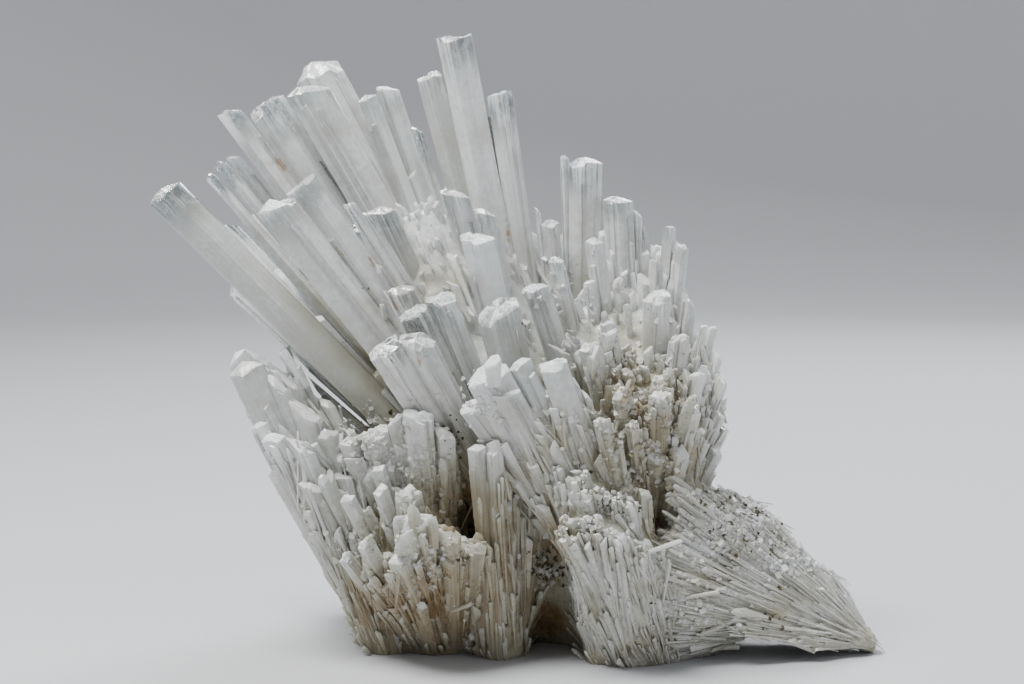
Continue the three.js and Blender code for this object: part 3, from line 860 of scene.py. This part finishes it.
def massStore(grown):
    labels = np.zeros(gridSize, np.int8)
    for label, (name, crystals) in enumerate(grown.items(), 1):
        for crystal in crystals:
            fillPrism(labels, crystal, massLook["reach"][name], massLook["shrink"][name], label)
    for label, name in enumerate(grown, 1):
        fillHull(labels, heartPoints(sprays[name]), label)
    fillHull(labels, [place(*corner) for corner in sideLump], len(grown))
    fillHull(labels, [place(*corner) for corner in milkyLump], list(grown).index("tallFan") + 1)
    for _ in range(massLook["closing"]):
        labels = spread(labels)
    inside = labels > 0
    for _ in range(massLook["closing"]):
        inside = shrinkOnce(inside)
    field = inside.astype(np.float32)
    for _ in range(massLook["smoothing"]):
        for axis in range(3):
            field = (np.roll(field, 1, axis) + field * 2 + np.roll(field, -1, axis)) / 4
    field -= 0.5
    table = int(-massLook["low"][2] / massLook["pitch"])
    field[:, :, :table + 1] = -0.5
    spots, quads = netOf(field)
    near = np.rint(spots).astype(int)
    owner = labels[near[:, 0], near[:, 1], near[:, 2]]
    spots = spots * massLook["pitch"] + np.array(massLook["low"])
    bases, farthest = [np.zeros(3)], [1.0]
    for name, crystals in grown.items():
        base = (place(*sprays[name]["root"]) + farRootOf(sprays[name])) / 2
        bases.append(place(*massLook["fanFrom"]) if name == "frontFoot" else base)
        farthest.append(max(float(np.linalg.norm(item["end"] - bases[-1])) for item in crystals))
    away = spots - np.array(bases)[owner]
    far = np.linalg.norm(away, axis=1)
    ways = away / np.maximum(far, 1e-6)[:, None]
    deep = np.clip(1.0 - far / np.array(farthest)[owner], 0.0, massLook["deepest"])
    across = spots[quads[:, 2]] - spots[quads[:, 0]]
    other = spots[quads[:, 3]] - spots[quads[:, 1]]
    normal = np.cross(across, other)
    normals = np.zeros_like(spots)
    for corner in range(4):
        np.add.at(normals, quads[:, corner], normal)
    normals /= np.maximum(np.linalg.norm(normals, axis=1), 1e-9)[:, None]
    lift = np.empty(len(spots))
    for index in range(len(spots)):
        rib = noise.noise(Vector(ways[index]) * massLook["ribs"])
        lump = noise.noise(Vector(spots[index]) * massLook["lumps"])
        lift[index] = rib * massLook["ribHeight"] + lump * massLook["lumpHeight"]
    lift *= np.clip(spots[:, 2] / 2 - 0.2, 0, 1)
    spots = spots + normals * lift[:, None]
    spots[:, 2] = np.where(spots[:, 2] < massLook["pitch"], 0, spots[:, 2])
    store = emptyStore()
    sideways, upwards = massLook["stripes"]
    grain = np.stack((ways[:, 0] * sideways, (ways[:, 1] + ways[:, 2]) * upwards, far), 1)
    blank = np.zeros(len(spots))
    addPoints(store, spots, grain, blank, blank + massLook["frost"], deep, massLook["shade"])
    store["faces"] = [tuple(quad) for quad in quads.tolist()]
    share = far / np.array(farthest)[owner]
    return store, {"spots": spots, "normals": normals, "ways": ways, "owner": owner, "share": share}


# short broken crystals on the outer part of the mass, and fibres that run along it to the root:
# how many of each, and how wide
coverLook = {
    "leftFan": (60, 60, 1.6), "tallFan": (420, 160, 1.1), "crest": (260, 160, 1.3),
    "rightSide": (1000, 260, 1.1), "centreSpray": (260, 360, 1.2), "frontFoot": (150, 1500, 0.8),
    "middleFoot": (60, 320, 1.0), "leftSpray": (300, 1100, 1.2), "ledges": (700, 900, 1.4),
    "wing": (420, 1700, 0.6),
}
# their lengths, how far out and askew they lie, and which part of the mass carries them
coverRules = {
    "length": (1.6, 5.5), "out": 0.34, "jitter": 0.08, "lift": 0.06, "outermost": 0.5, "varied": 0.45,
    "fibre": (5.0, 15.0), "fibreFrom": 0.03, "fibreTo": 0.85, "steepest": 0.6, "fibreShade": (0.35, 0.8),
}


def addShingles(store, surface, count, width, order):
    share = surface["share"]
    near = np.flatnonzero((surface["owner"] == order) & (share > coverRules["outermost"]))
    weight = (share[near] - coverRules["outermost"] + 0.1) ** 1.2
    chosen = chance.choice(near, size=min(count, len(near)), replace=False, p=weight / weight.sum())
    for index in chosen:
        normal, way = surface["normals"][index], surface["ways"][index]
        if surface["spots"][index][2] < 14 and way @ normal < 0.3:
            continue
        along = unit(way + normal * coverRules["lift"] + chance.normal(size=3) * coverRules["jitter"])
        own = width * math.exp(chance.normal() * coverRules["varied"])
        length = own * chance.uniform(*coverRules["length"])
        centre = surface["spots"][index] + normal * own * (coverRules["out"] - 0.3 * chance.random())
        end = centre + along * length * 0.35
        if end[2] > 2.0:
            addNeedle(store, centre - along * length * 0.65, end, own, 0.0, 0.5)


def addRootFibres(store, surface, count, width, order):
    shares = surface["share"]
    between = (shares > coverRules["fibreFrom"]) & (shares < coverRules["fibreTo"])
    near = np.flatnonzero((surface["owner"] == order) & between)
    for index in chance.choice(near, size=min(count, len(near)), replace=False):
        normal, way, share = surface["normals"][index], surface["ways"][index], shares[index]
        steep = float(way @ normal)
        if abs(steep) > coverRules["steepest"]:
            continue
        along = unit(way - normal * (steep + 0.01) + chance.normal(size=3) * 0.012)
        own = width * math.exp(chance.normal() * coverRules["varied"]) * (0.4 + share * 0.6)
        length = chance.uniform(*coverRules["fibre"]) * (0.4 + share)
        spot = surface["spots"][index] - normal * own * 0.22
        end = spot + along * length * 0.4 - normal * own * 0.2
        root = spot - along * length * 0.6
        if end[2] > 1.0:
            addNeedle(store, root, end, own, 0.0, 1 - float(share) * 0.6, 0.4, coverRules["fibreShade"])


# the thin crystals that fill each spray: how many along its faces and inside it, how wide,
# and what share of the length they reach
fillLook = {
    "leftFan": (200, 200, (1.4, 3.6), (0.55, 0.9)), "tallFan": (240, 220, (1.4, 3.8), (0.6, 0.86)),
    "crest": (300, 200, (1.0, 3.0), (0.7, 0.95)), "rightSide": (520, 260, (0.8, 2.2), (0.7, 0.97)),
    "centreSpray": (320, 160, (0.7, 2.8), (0.66, 0.95)), "frontFoot": (260, 120, (0.6, 1.6), (0.6, 0.97)),
    "middleFoot": (220, 100, (0.6, 1.8), (0.5, 0.93)), "leftSpray": (140, 120, (0.9, 3.0), (0.55, 0.93)),
    "ledges": (420, 300, (0.9, 3.4), (0.55, 0.96)), "wing": (420, 120, (0.5, 1.3), (0.84, 0.98)),
}
fibrous = ("frontFoot", "wing")  # the sprays whose crystals are sheaves of fibres
fillRules = {
    "nearest": 15.0, "front": 0.14, "innerReach": (0.92, 1.14), "lowest": 1.5, "start": (0.4, 0.75),
    "deepest": 0.85, "narrow": 0.75, "shade": (0.2, 1.0),
}
frontFootFan = {"root": (27, -3, 0), "rootWidth": 8}  # where the front foot's thin crystals come from


def addFill(store, spray, look):
    skin, inner, widths, reaches = look
    ends = [np.array(end, float) for end in spray["ends"]]
    middles = [np.array(((end[0] + end[2]) / 2, (end[1] + end[3]) / 2, end[4])) for end in ends]
    pairs = []
    for first in range(len(ends)):
        for second in range(first + 1, len(ends)):
            if np.linalg.norm(middles[first] - middles[second]) < fillRules["nearest"]:
                pairs.append((first, second))
    for number in range(skin + inner):
        if number < skin:
            first, second = pairs[int(chance.integers(len(pairs)))]
            share = chance.random()
            mixed = middles[first] * share + middles[second] * (1 - share)
            away = chance.random() ** 1.5 * fillRules["front"]
            if chance.random() < 0.5:
                away = 1 - away
            reach = chance.uniform(*reaches)
        else:
            items = chance.integers(len(ends), size=3)
            weights = chance.dirichlet((1, 1, 0.6))
            mixed = sum(weight * middles[item] for weight, item in zip(weights, items))
            away = chance.random()
            reach = min(spray["heart"] * chance.uniform(*fillRules["innerReach"]), 0.97)
        jitter = chance.uniform(-0.2, 0.2) * spray["rootWidth"]
        across, up, depth = spray["root"]
        root = place(across + jitter, up, deeper(spray, depth, away))
        end = root * (1 - reach) + place(mixed[0], mixed[1], deeper(spray, mixed[2], away)) * reach
        if end[2] > fillRules["lowest"]:
            start = chance.uniform(*fillRules["start"])
            width = chance.uniform(*widths)
            finish = (fillRules["deepest"], fillRules["narrow"], fillRules["shade"])
            addNeedle(store, root, end, width, start, *finish)


# how far the clear ends reach down, in mm, and how clear they are
clearEnds = {
    "leftFan": (12.0, 1.0), "tallFan": (11.0, 1.0), "crest": (7.0, 0.7), "rightSide": (4.0, 0.5),
    "centreSpray": (4.0, 0.3), "frontFoot": (3.0, 0.2), "middleFoot": (4.0, 0.3), "leftSpray": (5.0, 0.35),
    "ledges": (4.0, 0.3), "wing": (3.0, 0.3),
}

rootPaintedShade = {"wing": 0.15, "frontFoot": 0.5, "leftSpray": 0.7}  # how much painted shade each spray gets towards its root; the other sprays get it fully

# the milky crystals in front of the tall fan, by their ends
milkyBody = [
    (-37, 83, -31.6, 87.4, -5), (-30.4, 89.4, -25, 90.4, -6), (-16, 93.6, -10, 92.6, -5),
    (-9.4, 90, -4.6, 88.6, -5), (-27, 73.4, -21, 74.4, -13),
]
# broad slabs down the outer edge of the left spray
outerSlabs = [
    (-58, 57, -51.4, 59.4, -8.5), (-52, 57.6, -45.4, 53, -8.5), (-46, 52, -39.4, 47.4, -8.5),
    (-54, 46.4, -50, 48, -9), (-50.4, 37, -46.6, 38, -8),
]

# grains of dirt and crumbs of crystal in front: across, up, radius, count
dirtPlaces = [
    (-30.6, 74, 0.8, 3), (-25.6, 73.8, 0.6, 2), (0.8, 67.4, 0.8, 4), (25.6, 70, 0.6, 3),
    (-10, 55.6, 0.8, 5), (-13, 44.4, 3, 20), (-30, 48, 1.2, 6), (-26, 49.6, 0.8, 4),
    (-35.4, 63.6, 0.6, 2), (17.4, 31.4, 1.6, 12), (24, 30.4, 0.8, 5), (26.6, 26, 1.2, 10),
    (36.6, 31, 1.2, 8), (39.6, 31, 0.8, 4), (38.8, 26.4, 1.2, 10), (42, 27.2, 1, 8),
    (44.4, 24, 1.2, 10), (50.4, 22, 1.2, 8), (51.6, 14.4, 0.8, 4), (41, 14.4, 1, 5),
    (-18, 24.8, 0.6, 4), (-11, 20.6, 1.8, 8), (-3, 7, 0.6, 3), (5.4, 19, 3.4, 170), (43, 28, 8, 60),
    (20, 32, 2.8, 8), (27, 10, 2, 6), (50, 8.2, 2.4, 16), (27, 28, 1, 12), (13, 36, 2, 6),
]
crumbPlaces = [
    (42, 27, 8.4, 520), (54, 20, 6, 140), (25, 52, 12, 320), (-18, 20, 7.6, 160), (-30, 44, 7.4, 160),
    (5.4, 18, 4.2, 60), (16, 32, 6, 140), (-8, 52, 5.4, 60), (28, 38, 7, 110), (36, 12, 8, 150),
    (-20, 38, 7, 140), (-32, 24, 5, 70), (18, 44, 7, 80), (10, 74, 8, 50),
]

# crumbs and dirt on the back: places, grains to a place, how far apart, sizes in mm, frost
backLook = {
    "crumbs": {"places": 260, "grains": None, "apart": 0.2, "sizes": (0.35, 1.2), "frost": 0.9},
    "dirt": {"places": 26, "grains": (3, 9), "apart": 1.0, "sizes": (0.25, 0.8), "frost": 0.0},
}
frontLook = {
    "crumbs": {"sizes": (0.4, 1.6), "frost": 0.9},
    "dirt": {"sizes": (0.2, 1.0), "frost": 0.0},
}

# loose splinters and white blocks: across, up, to across, to up, width, lift towards the viewer
loosePieces = [
    (-14, 9.6, -9.8, 11.2, 0.9, 1.5), (33, 12.4, 39.4, 13.6, 0.8, 1.5), (25.6, 21.6, 31.4, 23.6, 1.0, 1.0),
    (44, 4.6, 56, 9, 1.5, 1.0), (-42.6, 54.6, -47.4, 61.4, 2.2, 0.5), (-20.4, 23, -21, 29, 3.0, 2.5),
    (-17.4, 22, -17.6, 26.6, 2.6, 2.5), (14.4, 57, 14.6, 61.4, 2.6, 2.0), (17.6, 61.6, 18.2, 65.4, 2.4, 2.0),
    (17.4, 50, 18.4, 54.6, 2.8, 2.0), (27.4, 46.4, 28.6, 51, 2.2, 2.0), (-26.8, 68, -27.4, 70.4, 1.2, 0.8),
    (-5, 55, -5.4, 59.6, 3.6, 2.0), (23, 90.6, 17.4, 89.8, 0.9, 0.5), (36, 5, 44, 8.6, 1.0, 1.0),
]
looseLook = {"out": 0.1, "deepest": 0.3, "narrow": 0.8, "shade": (0.6, 1.0)}


def hitAt(tree, across, up):
    # where the line of sight through a place in the photo meets the crystals
    near = Vector(place(across, up, -80))
    away = Vector(place(across, up, 90)) - near
    hit, normal, _, _ = tree.ray_cast(near, away.normalized())
    if hit is None:
        return None, None
    return np.array(hit), np.array(normal)


def treeOf(stores):
    points, faces = [], []
    for store in stores:
        first = len(points)
        points.extend(np.concatenate(store["points"]).tolist())
        faces.extend([tuple(first + corner for corner in face) for face in store["faces"]])
    return BVHTree.FromPolygons(points, faces)


crumbLook = {"flat": (0.5, 1.0), "ragged": (0.75, 1.1), "deep": 0.3, "shade": (0.4, 1.0)}


def addCrumb(store, centre, size, frost):
    # a small broken block with its own turn
    first = unit(chance.normal(size=3))
    second = unit(np.cross(first, chance.normal(size=3)))
    turn = np.stack((first, second, np.cross(first, second)))
    corners = np.array([(x, y, z) for z in (-1, 1) for x, y in ((-1, -1), (1, -1), (1, 1), (-1, 1))], float)
    corners = corners * chance.uniform(*crumbLook["flat"], 3)
    corners = corners * chance.uniform(*crumbLook["ragged"], (8, 3)) * size / 2
    points = centre + corners @ turn
    blank = np.zeros(8)
    frosted, deep = blank + frost * chance.random(), blank + crumbLook["deep"]
    base = addPoints(store, points, points, blank, frosted, deep, crumbLook["shade"])
    for face in ((3, 2, 1, 0), (4, 5, 6, 7), (0, 1, 5, 4), (1, 2, 6, 5), (2, 3, 7, 6), (3, 0, 4, 7)):
        store["faces"].append(tuple(base + corner for corner in face))


def scatter(store, tree, places, look):
    sizes = look["sizes"]
    for across, up, radius, count in places:
        for _ in range(count):
            shift = chance.normal(size=2) * radius * 0.5
            hit, normal = hitAt(tree, across + shift[0], up + shift[1])
            if hit is not None and hit[2] > 0.6:
                size = sizes[0] + (sizes[1] - sizes[0]) * chance.random() ** 2
                addCrumb(store, hit + normal * size * 0.15, size, look["frost"])


def scatterBehind(store, tree, surface, hidden, look):
    for index in chance.choice(hidden, size=look["places"], replace=False):
        for _ in range(int(chance.integers(*look["grains"])) if look["grains"] else 1):
            spot = surface["spots"][index] + chance.normal(size=3) * look["apart"]
            hit = tree.find_nearest(Vector(spot + surface["normals"][index] * 3))[0]
            addCrumb(store, np.array(hit), chance.uniform(*look["sizes"]), look["frost"])


dirtLook = {
    "dark": (0.03, 0.025, 0.012, 1), "light": (0.11, 0.085, 0.035, 1), "patches": 600.0, "relief": 0.0002,
    "roughness": 0.75,
}


def dirt(name):
    material, tree, shader = newMaterial(name)
    place3d = node(tree, "ShaderNodeTexCoord").outputs["Object"]
    patches = noiseOf(tree, place3d, dirtLook["patches"], 3.0)
    colour = mixOf(tree, rangeOf(tree, patches, 0.35, 0.65, 0, 1), dirtLook["dark"], dirtLook["light"])
    tree.links.new(colour, shader["Base Color"])
    tree.links.new(bumpOf(tree, patches, 0.8, dirtLook["relief"]), shader["Normal"])
    shader["Roughness"].default_value = dirtLook["roughness"]
    return material


clearFinish = scolecite("clearScolecite", True)
milkyFinish = scolecite("milkyScolecite", False)
grown = {name: mainCrystals(spray) for name, spray in sprays.items()}
gridSize = tuple(int((b - a) / massLook["pitch"]) for a, b in zip(massLook["low"], massLook["high"]))
massMesh, surface = massStore(grown)
stores = [massMesh]
bodyCrystals = {
    "tallFan": [frontCrystal(sprays["tallFan"], end) | {"white": 0.25} for end in milkyBody],
    "leftSpray": [frontCrystal(sprays["leftSpray"], end) | {"white": 0.3} for end in outerSlabs],
}
mass = makeObject("milkyMass", massMesh, milkyFinish)
mass.data.shade_smooth()
report("mass with %d faces" % len(mass.data.polygons))
for order, (sprayName, crystals) in enumerate(grown.items(), 1):
    store = emptyStore()
    clearLength, clear = clearEnds[sprayName]
    for crystal in crystals + bodyCrystals.get(sprayName, []):
        crystal["clearLength"] = clearLength
        clearness = clear * chance.uniform(0.5, 1.0)
        if sprayName in fibrous:
            addFibres(store, crystal, clearness)
        else:
            addBundle(store, crystal, clearness, slabLook if sprayName == "leftSpray" else None)
    # the spray's share of painted shade towards the root
    deepest = rootPaintedShade.get(sprayName, 1.0)
    makeObject(sprayName + "Crystals", store, clearFinish, deepest)
    stores.append(store)
    filled = emptyStore()
    fanned = frontFootFan if sprayName == "frontFoot" else {}
    addFill(filled, sprays[sprayName] | fanned, fillLook[sprayName])
    shingles, fibres, coverWidth = coverLook[sprayName]
    addShingles(filled, surface, shingles, coverWidth, order)
    addRootFibres(filled, surface, fibres, coverWidth, order)
    makeObject(sprayName + "Fill", filled, milkyFinish, deepest)
    stores.append(filled)
    report(sprayName)

# dirt, crumbs and loose pieces lie where they are seen in front, and elsewhere on the back
surfaceTree = treeOf(stores)
dirtFinish = dirt("greenBrownDirt")
dirtStore, crumbStore, looseStore = emptyStore(), emptyStore(), emptyStore()
scatter(dirtStore, surfaceTree, dirtPlaces, frontLook["dirt"])
scatter(crumbStore, surfaceTree, crumbPlaces, frontLook["crumbs"])
for across, up, toAcross, toUp, width, lift in loosePieces:
    hit, normal = hitAt(surfaceTree, across, up)
    if hit is not None:
        end = place(toAcross, toUp, hit[1] + middleDeep - lift)
        start = hit + normal * width * looseLook["out"]
        finish = (looseLook["deepest"], looseLook["narrow"], looseLook["shade"])
        addNeedle(looseStore, start, end, width, 0.0, *finish)
hidden = np.flatnonzero((surface["normals"][:, 1] > 0.1) & (surface["spots"][:, 2] > 3))
scatterBehind(crumbStore, surfaceTree, surface, hidden, backLook["crumbs"])
scatterBehind(dirtStore, surfaceTree, surface, hidden, backLook["dirt"])
makeObject("drusyCrumbs", crumbStore, milkyFinish)
makeObject("loosePieces", looseStore, milkyFinish)
makeObject("dirtSpecks", dirtStore, dirtFinish)

# a round pale studio floor that curves up into a wall, light and camera
bowlLook = {
    "flat": 0.75, "bend": 0.35, "height": 1.5, "around": 96, "steps": 8,
    "colour": (0.5, 0.51, 0.53, 1), "roughness": 0.8,
}
profile = [(0.01, 0.0), (bowlLook["flat"], 0.0)]
for step in range(1, bowlLook["steps"] + 1):
    turn = math.pi / 2 * step / bowlLook["steps"]
    radius = bowlLook["flat"] + bowlLook["bend"] * math.sin(turn)
    profile.append((radius, bowlLook["bend"] * (1 - math.cos(turn))))
profile.append((bowlLook["flat"] + bowlLook["bend"], bowlLook["height"]))
around = bowlLook["around"]
bowlPoints, bowlFaces = [], [tuple(range(around))]
for level, (radius, height) in enumerate(profile):
    for step in range(around):
        turn = 2 * math.pi * step / around
        bowlPoints.append((radius * math.cos(turn), radius * math.sin(turn), height))
        if level:
            low, after = (level - 1) * around, (step + 1) % around
            bowlFaces.append((low + step, low + around + step, low + around + after, low + after))
floorMesh = bpy.data.meshes.new("floor")
floorMesh.from_pydata(bowlPoints, [], bowlFaces)
floorMesh.shade_smooth()
floor = linked("floor", floorMesh)
floorMaterial, _, floorShader = newMaterial("paleFloor")
floorShader["Base Color"].default_value = bowlLook["colour"]
floorShader["Roughness"].default_value = bowlLook["roughness"]
floorMesh.materials.append(floorMaterial)

studioLook = {"colour": (0.66, 0.69, 0.74, 1), "strength": 0.4}
world = bpy.data.worlds.new("studio")
bpy.context.scene.world = world
world.use_nodes = True
background = world.node_tree.nodes["Background"].inputs
background["Color"].default_value = studioLook["colour"]
background["Strength"].default_value = studioLook["strength"]

lampAim = Vector((0, 0, 0.06))
lamps = {
    "keyLight": {"at": (-0.24, -0.18, 0.64), "size": 0.28, "power": 10.0, "colour": (1, 0.99, 0.97)},
    "fillLight": {"at": (0.6, -0.45, 0.4), "size": 0.5, "power": 1.2, "colour": (0.95, 0.97, 1)},
    "rimLight": {"at": (0.25, 0.5, 0.5), "size": 0.4, "power": 5.0, "colour": (0.96, 0.98, 1)},
}
for lampName, lamp in lamps.items():
    data = bpy.data.lights.new(lampName, "AREA")
    data.size = lamp["size"]
    data.energy = lamp["power"]
    data.color = lamp["colour"]
    light = linked(lampName, data)
    light.location = lamp["at"]
    light.rotation_euler = (lampAim - Vector(lamp["at"])).to_track_quat("-Z", "Y").to_euler()

aim = Vector((view["aimAcross"] - middleAcross, -middleDeep, view["aimUp"])) * metre
reach = Vector((0, -math.cos(view["tilt"]), math.sin(view["tilt"]))) * view["distance"] * metre
cameraData = bpy.data.cameras.new("camera")
cameraData.lens = view["lens"]
cameraData.sensor_width = view["sensor"]
camera = linked("camera", cameraData)
camera.location = aim + reach
camera.rotation_euler = (-reach).to_track_quat("-Z", "Y").to_euler()
bpy.context.scene.camera = camera

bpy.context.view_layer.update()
report("scene is ready")
